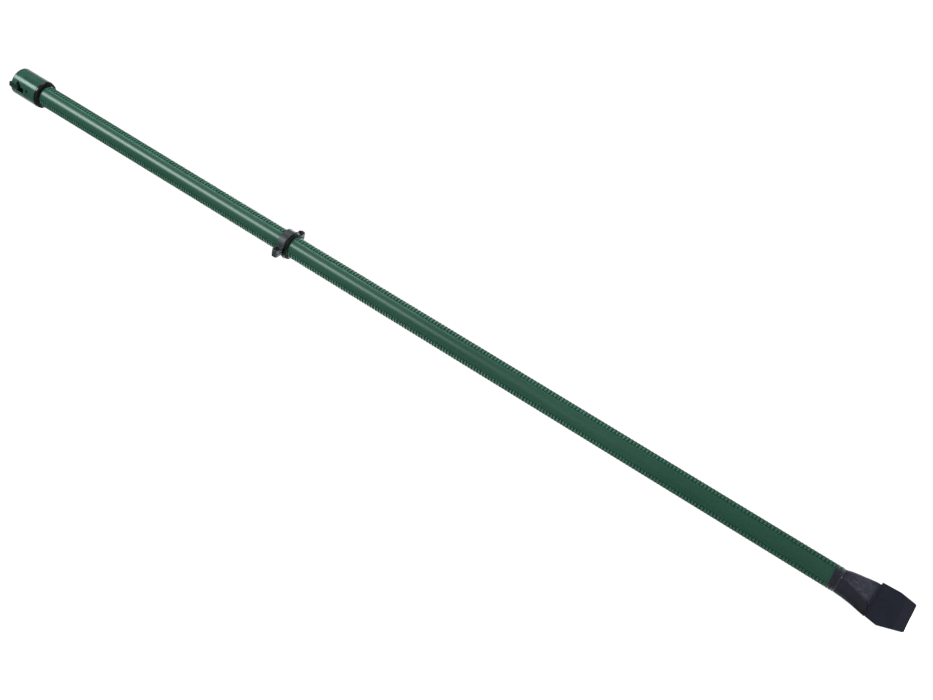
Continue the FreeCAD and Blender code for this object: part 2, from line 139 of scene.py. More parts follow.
def from_cad(name, node, mat, voxel, smooth_steps, snap=(), displace=None):
    """A copy of a CAD node's mesh, remeshed and relaxed so that its edges are softly rounded."""
    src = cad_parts[node]
    me = src.data.copy()
    me.name = name
    me.transform(src.matrix_world)
    me.materials.clear()
    ob = bpy.data.objects.new(name, me)
    scene.collection.objects.link(ob)
    bm = bmesh.new()
    bm.from_mesh(me)
    bmesh.ops.remove_doubles(bm, verts=bm.verts, dist=1e-6)
    bm.to_mesh(me)
    bm.free()
    m = ob.modifiers.new("remesh", "REMESH")
    m.mode = "VOXEL"
    m.voxel_size = voxel * MM
    m.adaptivity = 0.0
    s = ob.modifiers.new("soft", "SMOOTH")
    s.factor = 0.5
    s.iterations = smooth_steps
    dg = bpy.context.evaluated_depsgraph_get()
    out = bpy.data.meshes.new_from_object(ob.evaluated_get(dg), depsgraph=dg)
    ob.modifiers.clear()
    ob.data = out
    n = len(out.vertices)
    co = np.empty(n * 3, np.float64)
    out.vertices.foreach_get("co", co)
    co = co.reshape(-1, 3)
    r = np.hypot(co[:, 0], co[:, 1])
    for radius, z0, z1, tol in snap:
        hit = (np.abs(r - radius * MM) < tol * MM) & (co[:, 2] > z0 * MM) & (co[:, 2] < z1 * MM)
        k = np.where(hit, radius * MM / np.maximum(r, 1e-9), 1.0)
        co[:, 0] *= k
        co[:, 1] *= k
        r = np.hypot(co[:, 0], co[:, 1])
    if displace is not None:
        co = displace(co)
    out.vertices.foreach_set("co", co.reshape(-1))
    out.update()
    out.polygons.foreach_set("use_smooth", [True] * len(out.polygons))
    out.materials.clear()
    out.materials.append(mat)
    ob.name = name
    return ob


# ----------------------------------------------------------------- materials
class Nodes:
    def __init__(self, name):
        self.mat = bpy.data.materials.new(name)
        self.mat.use_nodes = True
        self.t = self.mat.node_tree
        self.t.nodes.clear()
        self.out = self.t.nodes.new("ShaderNodeOutputMaterial")
        self.bsdf = self.t.nodes.new("ShaderNodeBsdfPrincipled")
        self.t.links.new(self.bsdf.outputs["BSDF"], self.out.inputs["Surface"])
        self.coord = self.t.nodes.new("ShaderNodeTexCoord").outputs["Object"]

    def link(self, a, b):
        self.t.links.new(a, b)

    def put(self, name, value):
        s = self.bsdf.inputs[name]
        if hasattr(value, "is_linked"):
            self.link(value, s)
        else:
            s.default_value = value

    def mapping(self, scale, rot=(0, 0, 0)):
        m = self.t.nodes.new("ShaderNodeMapping")
        m.inputs["Scale"].default_value = scale
        m.inputs["Rotation"].default_value = rot
        self.link(self.coord, m.inputs["Vector"])
        return m.outputs["Vector"]

    def noise(self, scale, detail=4.0, rough=0.5, vec=None, distort=0.0):
        n = self.t.nodes.new("ShaderNodeTexNoise")
        n.inputs["Scale"].default_value = scale
        n.inputs["Detail"].default_value = detail
        n.inputs["Roughness"].default_value = rough
        n.inputs["Distortion"].default_value = distort
        self.link(vec or self.coord, n.inputs["Vector"])
        return n.outputs["Fac"]

    def voronoi(self, scale, vec=None, feature="F1"):
        n = self.t.nodes.new("ShaderNodeTexVoronoi")
        n.feature = feature
        n.inputs["Scale"].default_value = scale
        self.link(vec or self.coord, n.inputs["Vector"])
        return n.outputs["Distance"]

    def ramp(self, fac, stops, mode="LINEAR"):
        r = self.t.nodes.new("ShaderNodeValToRGB")
        r.color_ramp.interpolation = mode
        while len(r.color_ramp.elements) < len(stops):
            r.color_ramp.elements.new(0.5)
        for e, (p, c) in zip(r.color_ramp.elements, stops):
            e.position = p
            e.color = (c, c, c, 1) if isinstance(c, (int, float)) else (*c, 1)
        self.link(fac, r.inputs["Fac"])
        return r.outputs["Color"]

    def math(self, op, a, b=0.0, c=None, clamp=False):
        m = self.t.nodes.new("ShaderNodeMath")
        m.operation = op
        m.use_clamp = clamp
        for i, v in enumerate((a, b, c)):
            if v is None:
                continue
            if hasattr(v, "is_linked"):
                self.link(v, m.inputs[i])
            else:
                m.inputs[i].default_value = v
        return m.outputs[0]

    def map(self, v, a0, a1, b0=0.0, b1=1.0):
        m = self.t.nodes.new("ShaderNodeMapRange")
        m.clamp = True
        self.link(v, m.inputs["Value"])
        for k, x in (("From Min", a0), ("From Max", a1), ("To Min", b0), ("To Max", b1)):
            m.inputs[k].default_value = x
        return m.outputs["Result"]

    def mix(self, fac, a, b, mode="MIX"):
        m = self.t.nodes.new("ShaderNodeMix")
        m.data_type = "RGBA"
        m.blend_type = mode
        for sock, v in ((m.inputs[0], fac), (m.inputs[6], a), (m.inputs[7], b)):
            if hasattr(v, "is_linked"):
                self.link(v, sock)
            elif isinstance(v, (int, float)):
                sock.default_value = v
            else:
                sock.default_value = (*v, 1)
        return m.outputs[2]

    def xyz(self):
        s = self.t.nodes.new("ShaderNodeSeparateXYZ")
        self.link(self.coord, s.inputs[0])
        return s.outputs[0], s.outputs[1], s.outputs[2]

    def radius(self):
        x, y, _ = self.xyz()
        return self.math("SQRT", self.math("ADD", self.math("MULTIPLY", x, x), self.math("MULTIPLY", y, y)))

    def bump(self, height, strength, distance, normal=None):
        b = self.t.nodes.new("ShaderNodeBump")
        b.inputs["Strength"].default_value = strength
        b.inputs["Distance"].default_value = distance
        self.link(height, b.inputs["Height"])
        if normal is not None:
            self.link(normal, b.inputs["Normal"])
        return b.outputs["Normal"]


COAT_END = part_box("shaft_sleeve")[0].z
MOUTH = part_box("head_socket")[0].z


def green_plastic(name, ribbed=False):
    """Glossy dark green coat; on the ribs the crests are a little paler, partly dust and partly painted sheen."""
    n = Nodes(name)
    broad = n.noise(9.0, 3.0, 0.5, n.mapping((1, 1, 0.25)))
    fine = n.noise(900.0, 3.0, 0.6)
    streak = n.noise(260.0, 3.0, 0.55, n.mapping((1, 1, 0.03)))
    base = n.mix(n.map(broad, 0.35, 0.65), (0.0100, 0.0545, 0.0330), (0.0150, 0.0690, 0.0435))
    base = n.mix(n.map(streak, 0.45, 0.75, 0.0, 0.35), base, (0.0230, 0.0860, 0.0600))
    base = n.mix(n.map(fine, 0.60, 0.80, 0.0, 0.30), base, (0.0350, 0.1000, 0.0760))
    rough = n.map(broad, 0.3, 0.7, 0.27, 0.33)
    spec = None
    if not ribbed:
        # dust and shadow line in the groove beside the ribs
        groove = n.math("SUBTRACT", 1.0, n.map(n.radius(), 0.01548, 0.01568))
        base = n.mix(n.math("MULTIPLY", groove, 0.8), base, (0.0030, 0.0220, 0.0120))
        # painted highlight: a paler line along the lip beside the beds, stronger up near the head and on the right
        x, y, z = n.xyz()
        lip = n.math("MULTIPLY", n.map(n.radius(), 0.01580, 0.01588), n.map(x, 0.0, 0.002))
        lip = n.math("MULTIPLY", lip, n.map(z, 0.55, 0.85, 0.15, 1.0))
        dash = n.map(n.noise(160.0, 3.0, 0.6), 0.35, 0.60, 0.35, 1.0)
        base = n.mix(n.math("MULTIPLY", lip, dash), base, (0.1300, 0.3600, 0.2700))
    if ribbed:
        r = n.radius()
        crest = n.map(r, 0.01592, 0.01606)
        dust = n.noise(420.0, 4.0, 0.7)
        pale_tone = n.math("MULTIPLY", crest, n.map(dust, 0.35, 0.65, 0.20, 0.90))
        # the crests are paler: rubbed and dusty in patches, with painted sheen that grows towards the ends of each
        # rib and higher up the bar
        x, y, z = n.xyz()
        end_sheen = n.map(n.math("DIVIDE", n.math("ABSOLUTE", y), r), 0.34, 0.58, 0.10, 1.0)
        pale_tone = n.math("MULTIPLY", n.math("MULTIPLY", pale_tone, end_sheen), n.map(z, 0.10, 0.45, 0.45, 1.0))
        base = n.mix(pale_tone, base, (0.0820, 0.2200, 0.1600))
        # painted shade with grime: the valleys between the ribs are darker, and the grime also makes them rougher
        # and less glossy
        valley_grime_and_shade = n.math("SUBTRACT", 1.0, n.map(r, 0.01582, 0.01597))
        base = n.mix(n.math("MULTIPLY", valley_grime_and_shade, 0.55), base, (0.0040, 0.0300, 0.0165))
        rough = n.math("ADD", n.math("ADD", rough, 0.20), n.math("MULTIPLY", valley_grime_and_shade, 0.20))
        spec = n.math("SUBTRACT", 0.12, n.math("MULTIPLY", valley_grime_and_shade, 0.08))
    x, _, z = n.xyz()
    # painted shade: the coat gets darker towards the lower end of the bar, where less light falls
    lower_shade = n.math("MULTIPLY", n.map(z, 0.10, 0.48, 0.42, 0.0), n.map(broad, 0.3, 0.7, 0.8, 1.15))
    base = n.mix(lower_shade, base, (0.0040, 0.0240, 0.0150))
    # black overspray creeping up from the dipped end, further on the right
    edge = n.math("ADD", z, n.math("MULTIPLY", n.math("SUBTRACT", n.noise(300.0, 4.0, 0.6), 0.5), 0.006))
    edge = n.math("SUBTRACT", edge, n.math("MULTIPLY", x, 0.05))
    lo, hi = (COAT_END - 0.0008, COAT_END + 0.0017) if not ribbed else (COAT_END - 0.0028, COAT_END - 0.0003)
    spray = n.math("SUBTRACT", 1.0, n.map(edge, lo, hi))
    base = n.mix(spray, base, (0.0110, 0.0140, 0.0200))
    n.put("Base Color", base)
    n.put("Roughness", rough)
    if spec is not None:
        n.put("Specular IOR Level", spec)
    n.put("IOR", 1.50)
    n.put("Specular Tint", (0.80, 1.0, 0.96, 1.0))
    h = n.math("ADD", n.math("MULTIPLY", fine, 0.6), n.math("MULTIPLY", streak, 0.4))
    n.put("Normal", n.bump(h, 0.10, 0.00010))
    return n.mat


def green_enamel(name):
    """Thick glossy enamel on the cast socket: painted shade inside the bore and on the wall's cut faces, thin on
    edges.
    """
    n = Nodes(name)
    broad = n.noise(60.0, 3.0, 0.5)
    fine = n.noise(700.0, 4.0, 0.6)
    base = n.mix(n.map(broad, 0.35, 0.65), (0.0110, 0.0560, 0.0350), (0.0170, 0.0730, 0.0470))
    base = n.mix(n.map(fine, 0.62, 0.80, 0.0, 0.35), base, (0.0380, 0.1080, 0.0800))
    geo = n.t.nodes.new("ShaderNodeNewGeometry")
    edge = n.map(geo.outputs["Pointiness"], 0.52, 0.60)
    base = n.mix(n.math("MULTIPLY", edge, 0.6), base, (0.1100, 0.2300, 0.1700))
    r = n.radius()
    # painted shade inside the bore
    bore_shade = n.math("SUBTRACT", 1.0, n.map(r, 0.0182, 0.0196))
    base = n.mix(n.math("MULTIPLY", bore_shade, 0.7), base, (0.0050, 0.0200, 0.0140))
    # painted shade on the wall's cut faces round the slots and ends, which are also rougher and less glossy
    wall = n.math("SUBTRACT", 1.0, n.map(r, 0.0198, 0.0206))
    base = n.mix(n.math("MULTIPLY", wall, 0.75), base, (0.0020, 0.0090, 0.0060))
    n.put("Base Color", base)
    n.put("Roughness", n.math("ADD", n.map(broad, 0.3, 0.7, 0.19, 0.25), n.math("MULTIPLY", wall, 0.30)))
    n.put("Specular IOR Level", n.math("SUBTRACT", 0.42, n.math("MULTIPLY", wall, 0.30)))
    n.put("Specular Tint", (0.76, 1.0, 0.96, 1.0))
    n.put("IOR", 1.52)
    n.put("Normal", n.bump(n.noise(160.0, 2.0, 0.5), 0.10, 0.0003))
    return n.mat


def black_steel(name, scale=1.0, dark=1.0, neck=False, spec=0.33):
    """Blue-black painted steel with rubbed patches and scale marks; on the neck, painted light on one facet and
    painted shade below it.
    """
    n = Nodes(name)

    def tone(r, g, b):
        return (r * dark, g * dark, b * dark ** 0.6)
    broad = n.noise(45.0 * scale, 4.0, 0.6)
    fine = n.noise(520.0, 5.0, 0.65)
    marks = n.noise(260.0, 5.0, 0.7, n.mapping((1, 1, 0.25)), 0.6)
    base = n.mix(n.map(broad, 0.35, 0.68), tone(0.0120, 0.0150, 0.0225), tone(0.0190, 0.0235, 0.0335))
    base = n.mix(n.map(fine, 0.58, 0.80, 0.0, 0.45), base, tone(0.0360, 0.0430, 0.0560))
    base = n.mix(n.map(marks, 0.66, 0.76, 0.0, 0.5), base, tone(0.0060, 0.0080, 0.0125))
    if neck:
        # painted light on the facet right of the ridge, in patches; painted shade below it on the left
        x, y, z = n.xyz()
        ridge = n.math("ADD", n.math("MULTIPLY", z, 0.21667), -0.01567)
        off = n.math("SUBTRACT", x, ridge)
        zone = n.math("MULTIPLY", n.map(z, 0.0505, 0.0570), n.map(z, 0.0780, 0.0970, 1.0, 0.0))
        face = n.map(y, -0.0030, 0.0, 1.0, 0.0)
        patch = n.map(n.noise(330.0, 5.0, 0.7, n.mapping((1, 1, 0.5))), 0.36, 0.60, 0.15, 1.0)
        lit = n.math("MULTIPLY", n.math("MULTIPLY", n.map(off, -0.0004, 0.0016), zone), face)
        base = n.mix(n.math("MULTIPLY", lit, n.math("MULTIPLY", patch, 0.85)), base, (0.0430, 0.0440, 0.0620))
        left_shade = n.math("MULTIPLY", n.map(off, -0.0040, 0.0, 1.0, 0.0), n.map(z, 0.0620, 0.0760, 1.0, 0.0))
        base = n.mix(n.math("MULTIPLY", n.math("MULTIPLY", left_shade, face), 0.8), base, (0.0020, 0.0026, 0.0050))
    geo = n.t.nodes.new("ShaderNodeNewGeometry")
    edge = n.map(geo.outputs["Pointiness"], 0.53, 0.62)
    base = n.mix(n.math("MULTIPLY", edge, 0.45), base, tone(0.0900, 0.1000, 0.1150))
    n.put("Base Color", base)
    n.put("Specular IOR Level", spec)
    n.put("Roughness", n.map(broad, 0.3, 0.7, 0.40, 0.54))
    h = n.math("ADD", n.math("MULTIPLY", fine, 0.5), n.math("MULTIPLY", marks, 0.6))
    n.put("Normal", n.bump(h, 0.25, 0.0003))
    return n.mat


def rubber(name, gloss=0.3, lo=(0.0040, 0.0045, 0.0050), hi=(0.0085, 0.0090, 0.0095), spec=0.5, ring=False):
    n = Nodes(name)
    broad = n.noise(120.0, 3.0, 0.5)
    fine = n.noise(1300.0, 3.0, 0.6)
    base = n.mix(n.map(broad, 0.3, 0.7), lo, hi)
    base = n.mix(n.map(fine, 0.62, 0.82, 0.0, 0.3), base, tuple(2.2 * v for v in hi))
    n.put("Base Color", base)
    rough, level = n.map(broad, 0.3, 0.7, gloss - 0.05, gloss + 0.08), spec
    if ring:
        # polished towards the sleeve, dull on the turned-in edge
        x, y, z = n.xyz()
        dull = n.map(z, MOUTH - 0.0050, MOUTH - 0.0042, 1.0, 0.0)
        rough = n.math("ADD", rough, n.math("MULTIPLY", dull, 0.42))
        level = n.math("SUBTRACT", spec, n.math("MULTIPLY", dull, 0.36))
    n.put("Roughness", rough)
    n.put("Specular IOR Level", level)
    n.put("IOR", 1.5)
    n.put("Normal", n.bump(fine, 0.15, 0.00015))
    return n.mat


def grey_plastic(name):
    """Moulded grey nylon with a fine spark-eroded texture and scuffed edges."""
    n = Nodes(name)
    broad = n.noise(80.0, 3.0, 0.5)
    fine = n.noise(1500.0, 3.0, 0.6)
    base = n.mix(n.map(broad, 0.35, 0.65), (0.0130, 0.0220, 0.0250), (0.0200, 0.0320, 0.0350))
    base = n.mix(n.map(fine, 0.60, 0.80, 0.0, 0.3), base, (0.0380, 0.0520, 0.0560))
    geo = n.t.nodes.new("ShaderNodeNewGeometry")
    edge = n.map(geo.outputs["Pointiness"], 0.53, 0.62)
    base = n.mix(n.math("MULTIPLY", edge, 0.45), base, (0.1000, 0.1200, 0.1250))
    n.put("Base Color", base)
    n.put("Roughness", n.map(broad, 0.3, 0.7, 0.38, 0.46))
    n.put("Specular IOR Level", 0.42)
    n.put("Normal", n.bump(fine, 0.25, 0.00015))
    return n.mat


def bare_metal(name, colour, rough, dark=False):
    n = Nodes(name)
    broad = n.noise(200.0, 4.0, 0.6)
    scratch = n.noise(1600.0, 4.0, 0.6, n.mapping((1, 1, 0.12)))
    c2 = tuple(0.6 * v for v in colour)
    base = n.mix(n.map(broad, 0.35, 0.7), colour, c2)
    base = n.mix(n.map(scratch, 0.55, 0.75, 0.0, 0.4), base, tuple(min(1.0, 1.4 * v) for v in colour))
    n.put("Base Color", base)
    n.put("Metallic", 0.7 if dark else 1.0)
    n.put("Roughness", n.map(scratch, 0.3, 0.7, rough - 0.06, rough + 0.10))
    n.put("Normal", n.bump(scratch, 0.2, 0.0001))
    return n.mat


M_COAT = green_plastic("m_coat")
M_RIBS = green_plastic("m_ribs", ribbed=True)
M_ENAMEL = green_enamel("m_enamel")
M_BLACK = black_steel("m_black_steel")
M_NECK = black_steel("m_neck_steel", 1.0, 0.45, neck=True, spec=0.16)
M_BLADE = black_steel("m_blade_steel", 0.6, 0.42, spec=0.16)
M_RING = rubber("m_mouth_rubber", 0.13, (0.0010, 0.0012, 0.0014), (0.0028, 0.0031, 0.0034), spec=0.42, ring=True)
M_LINER = rubber("m_liner_rubber", 0.55, (0.0012, 0.0018, 0.0020), (0.0032, 0.0044, 0.0048), spec=0.10)
M_GREY = grey_plastic("m_grey_nylon")


def eyelet(name, z0, phi):
    """Tubular rivet: pale rolled rim with the eye painted dark as shade, on the axis at phi and its opposite."""
    n = Nodes(name)
    x, y, z = n.xyz()
    a = math.radians(phi)
    side = n.math("ADD", n.math("MULTIPLY", x, math.cos(a)), n.math("MULTIPLY", y, math.sin(a)))
    dz = n.math("SUBTRACT", z, z0)
    d = n.math("SQRT", n.math("ADD", n.math("MULTIPLY", side, side), n.math("MULTIPLY", dz, dz)))
    rim = n.map(d, 0.0010, 0.0013)
    pale_tone = n.noise(900.0, 4.0, 0.6)
    pale = n.mix(n.map(pale_tone, 0.35, 0.65), (0.2600, 0.4200, 0.3700), (0.1500, 0.2900, 0.2400))
    # painted shade: the eye inside the rim is dark
    n.put("Base Color", n.mix(rim, (0.0040, 0.0100, 0.0080), pale))
    n.put("Metallic", 0.3)
    n.put("Roughness", n.map(pale_tone, 0.3, 0.7, 0.30, 0.45))
    n.put("Normal", n.bump(pale_tone, 0.2, 0.0001))
    return n.mat


rv_lo, rv_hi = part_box("sleeve_rivets")
M_RIVET = eyelet("m_rivet", (rv_lo.z + rv_hi.z) / 2, 72.0)
M_MOULD = rubber("m_dark_green_mould", 0.30, (0.0040, 0.0150, 0.0100), (0.0075, 0.0260, 0.0180))
M_PIN = bare_metal("m_blackened_pin", (0.012, 0.014, 0.016), 0.50, dark=True)
M_DARK = bare_metal("m_dark_steel", (0.070, 0.078, 0.088), 0.36, dark=True)
M_BRIGHT = bare_metal("m_bright_steel", (0.560, 0.560, 0.545), 0.30)
M_SPRING = bare_metal("m_spring_steel", (0.330, 0.330, 0.330), 0.28)

# ------------------------------------------------------------ coat and ribs
R_SMOOTH, R_CREST = 15.75, 16.12
sl_lo, sl_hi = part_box("shaft_sleeve")
rb_lo, rb_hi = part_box("rib_strip_right")
Z_DIP = sl_lo.z / MM
Z_COAT_TOP = sl_hi.z / MM
Z_RIB_TOP = rb_hi.z / MM
PITCH = {"left": 4.59, "right": 5.00}
HALF = 53.0

R_BED = 15.50


def off_flank(deg):
    """Angle away from the nearer flank (0 on the +X or -X side, 90 at front and back)."""
    d = abs(deg) % 180.0
    return min(d, 180.0 - d)


def coat_radius(deg):
    """Smooth coat, with a raised lip each side of the recessed beds that carry the ribs."""
    off = off_flank(deg)
    lip = 0.17 * math.exp(-((off - HALF - 1.6) / 1.5) ** 2)
    return R_BED + (R_SMOOTH - R_BED) * smooth((off - HALF + 2.4) / 2.6) + lip


angles = sorted(set([round(2.5 * k, 3) for k in range(144)] +
                    [round(c + sgn * (HALF + e), 3) % 360 for c in (0, 180) for sgn in (-1, 1)
                     for e in (-3.2, -2.4, -1.8, -1.2, -0.6, 0.0, 0.6, 1.2, 1.8, 2.4, 3.2, 4.2)]))
seg = len(angles)
z_rows = [Z_DIP + (Z_RIB_TOP + 0.2 - Z_DIP) * i / 140 for i in range(141)]
z_rows[1:1] = [Z_DIP + 0.08, Z_DIP + 0.3, Z_DIP + 1.5]
z_rows += [Z_RIB_TOP + 0.9 + (Z_COAT_TOP - Z_RIB_TOP - 0.9) * i / 6 for i in range(7)]
z_rows[-1:-1] = [Z_COAT_TOP - 0.3, Z_COAT_TOP - 0.08]
verts = []
for z in z_rows:
    for deg in angles:
        a = math.radians(deg)
        r = coat_radius(deg) if z < Z_RIB_TOP + 0.5 else R_SMOOTH
        r += 0.02 * noise.noise(Vector((math.cos(a) * 2, math.sin(a) * 2, z * 0.02)))
        verts.append((r * math.cos(a) * MM, r * math.sin(a) * MM, z * MM))
faces = grid_faces(len(z_rows), seg, True)
base = len(verts)
for z in (z_rows[0], z_rows[-1]):
    for deg in angles:
        a = math.radians(deg)
        verts.append((15.22 * math.cos(a) * MM, 15.22 * math.sin(a) * MM, z * MM))
for k in range(seg):
    k2 = (k + 1) % seg
    faces.append((base + k, base + k2, k2, k))
    top = (len(z_rows) - 1) * seg
    faces.append((top + k, top + k2, base + seg + k2, base + seg + k))
    faces.append((base + k2, base + k, base + seg + k, base + seg + k2))
coat = make_mesh("coat_tube", verts, faces, M_COAT)
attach(coat, "bar")
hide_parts("shaft_sleeve")

SHAPE = [(0.00, 0.0), (0.12, 0.06), (0.26, 0.78), (0.36, 1.0), (0.56, 1.0), (0.68, 0.74), (0.84, 0.05)]
R_VALLEY = 15.78


def rib_strip(name, side, z0, z1, mat, crest=R_CREST, seed=1):
    """Raised grip ribs on one flank: each is a short arc with rounded ends."""
    rnd = random.Random(seed)
    pitch = PITCH[side]
    n = max(1, int(round((z1 - z0) / pitch)))
    p = (z1 - z0) / n
    centre = 0.0 if side == "right" else 180.0
    cols = 37
    reach = HALF - 0.8
    angs = []
    for i in range(cols):
        t = 2 * i / (cols - 1) - 1
        angs.append(reach * (abs(t) ** 0.75) * (1 if t >= 0 else -1))
    verts, rows = [], 0
    for k in range(n + 1):
        amp = 1.0 + rnd.uniform(-0.10, 0.06)
        cut_lo, cut_hi = reach - 0.6 - rnd.uniform(0.0, 2.2), reach - 0.6 - rnd.uniform(0.0, 2.2)
        shift = rnd.uniform(-0.07, 0.07) * p
        for s, h in SHAPE if k < n else SHAPE[:1]:
            z = z0 + (k + s) * p + (shift if h > 0.5 else 0.0)
            for a in angs:
                lim = cut_hi if a > 0 else cut_lo
                end = math.sqrt(max(0.0, min(1.0, (lim - abs(a)) / 3.6)))
                r = R_VALLEY + (crest - R_VALLEY) * h * amp * end
                if abs(a) >= reach - 1e-6:
                    r = R_BED - 0.04
                t = math.radians(centre + a)
                verts.append((r * math.cos(t) * MM, r * math.sin(t) * MM, z * MM))
            rows += 1
    faces = grid_faces(rows, cols, False)
    base, inner = len(verts), (-0.5, 0.0, 0.5)
    for j in range(rows):
        z = verts[j * cols][2]
        for f in inner:
            t = math.radians(centre + reach * f)
            verts.append(((R_BED - 0.04) * math.cos(t) * MM, (R_BED - 0.04) * math.sin(t) * MM, z))

    def back_row(j):
        return [j * cols] + [base + j * 3 + i for i in range(3)] + [j * cols + cols - 1]
    for j in range(rows - 1):
        a, b = back_row(j), back_row(j + 1)
        faces += [(a[i], b[i], b[i + 1], a[i + 1]) for i in range(4)]
    faces.append(tuple(back_row(0)[1:4]) + tuple(range(cols - 1, -1, -1)))
    faces.append(tuple(back_row(rows - 1)[3:0:-1]) + tuple((rows - 1) * cols + i for i in range(cols)))
    return make_mesh(name, verts, faces, mat)


for side, node in (("left", "rib_strip_left"), ("right", "rib_strip_right")):
    ob = rib_strip("grip_ribs_" + side, side, Z_DIP, Z_RIB_TOP, M_RIBS, seed=7 if side == "left" else 11)
    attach(ob, "bar")
    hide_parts(node)

# ------------------------------------------------------------ dipped lower end
db_lo, db_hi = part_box("dip_band")
Z_BAND = db_lo.z / MM


def band_material():
    n = Nodes("m_dip")
    broad = n.noise(90.0, 4.0, 0.6)
    fine = n.noise(700.0, 5.0, 0.65)
    x, y, z = n.xyz()
    black = n.mix(n.map(broad, 0.35, 0.68), (0.0060, 0.0075, 0.0125), (0.0110, 0.0135, 0.0210))
    black = n.mix(n.map(fine, 0.58, 0.78, 0.0, 0.5), black, (0.0400, 0.0460, 0.0530))
    flank = n.map(x, 0.0080, 0.0125)
    patch = n.map(n.noise(330.0, 5.0, 0.7), 0.42, 0.60)
    green = n.math("MULTIPLY", flank, patch)
    low = n.map(z, COAT_END - 0.0123, COAT_END - 0.0063)
    green = n.math("MULTIPLY", green, n.math("MULTIPLY", low, 0.8))
    base = n.mix(green, black, (0.0200, 0.0640, 0.0450))
    # the dip stops a little lower on the left
    line = n.math("ADD", z, n.math("MULTIPLY", n.math("SUBTRACT", n.noise(300.0, 4.0, 0.6), 0.5), 0.003))
    line = n.math("SUBTRACT", line, n.math("MULTIPLY", x, 0.07))
    bare = n.map(line, COAT_END - 0.0013, COAT_END - 0.0007)
    base = n.mix(bare, base, (0.0120, 0.0600, 0.0370))
    # two small pale spots on the front of the band
    for px, pz, rr in ((0.0044, COAT_END - 0.0118, 0.0010), (0.0070, COAT_END - 0.0086, 0.0005)):
        dx = n.math("SUBTRACT", x, px)
        dz = n.math("SUBTRACT", z, pz)
        d = n.math("SQRT", n.math("ADD", n.math("MULTIPLY", dx, dx), n.math("MULTIPLY", dz, dz)))
        pale_spot = n.math("MULTIPLY", n.map(d, rr * 0.5, rr, 1.0, 0.0), n.map(y, -0.004, -0.002, 1.0, 0.0))
        base = n.mix(pale_spot, base, (0.1000, 0.1150, 0.1250))
    n.put("Base Color", base)
    n.put("Roughness", n.map(broad, 0.3, 0.7, 0.34, 0.50))
    n.put("Specular IOR Level", 0.22)
    n.put("Normal", n.bump(n.math("ADD", fine, broad), 0.3, 0.0004))
    return n.mat


M_DIP = band_material()
seg = 128
verts, rows = [], 0
zs = [Z_BAND + (Z_DIP - Z_BAND) * i / 26 for i in range(27)]
zs[1:1] = [Z_BAND + 0.05, Z_BAND + 0.2]
zs[-1:-1] = [Z_DIP - 0.05]
for j, z in enumerate(zs):
    for k in range(seg):
        a = 2 * math.pi * k / seg
        deg = math.degrees(a)
        side = "right" if (deg < 90 or deg > 270) else "left"
        off = min(deg, 360 - deg) if side == "right" else abs(deg - 180)
        end = math.sqrt(max(0.0, min(1.0, (HALF - off) / 3.2))) if off < HALF else 0.0
        s = ((z - Z_DIP) / PITCH[side]) % 1.0
        h = pl(s, SHAPE + [(1.0, 0.0)])
        wave = 0.35 + 0.35 * noise.noise(Vector((math.cos(a) * 3, math.sin(a) * 3, 4.0)))
        zz = z + wave * max(0.0, 1 - (z - Z_BAND) / 3.0)
        r = R_SMOOTH + 0.10 + 0.32 * h * end
        r += 0.05 * noise.noise(Vector((math.cos(a) * 9, math.sin(a) * 9, z * 0.9)))
        r -= (r - 15.28) * (1 - smooth((z - Z_BAND) / 2.6))
        verts.append((r * math.cos(a) * MM, r * math.sin(a) * MM, zz * MM))
faces = grid_faces(len(zs), seg, True)
base = len(verts)
for k in range(seg):
    a = 2 * math.pi * k / seg
    verts.append((15.22 * math.cos(a) * MM, 15.22 * math.sin(a) * MM, (Z_BAND + 0.08) * MM))
for k in range(seg):
    a = 2 * math.pi * k / seg
    verts.append((15.22 * math.cos(a) * MM, 15.22 * math.sin(a) * MM, Z_DIP * MM))
top = (len(zs) - 1) * seg
for k in range(seg):
    k2 = (k + 1) % seg
    faces.append((base + k, base + k2, k2, k))
    faces.append((top + k, top + k2, base + seg + k2, base + seg + k))
    faces.append((base + k2, base + k, base + seg + k, base + seg + k2))
band = make_mesh("dipped_band", verts, faces, M_DIP)
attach(band, "bar")
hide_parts("dip_band")

# ------------------------------------------------------- flattened neck, blade
nk_lo, nk_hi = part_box("neck")
Z_END, Z_NECK_TOP = nk_lo.z / MM, nk_hi.z / MM
WIDTHS = [(49.0, 43.4), (56.4, 42.0), (66.3, 38.6), (78.4, 35.3), (86.2, 33.2), (90.9, 31.6), (95.4, 30.5), (103.6, 30.4)]
SHIFT = [(48.0, 0.5), (49.0, 0.5), (56.4, 0.9), (66.3, 1.1), (78.4, 1.0), (86.2, 0.5), (90.9, 0.0), (103.6, 0.0)]
GIRTH = 2 * math.pi * 15.2


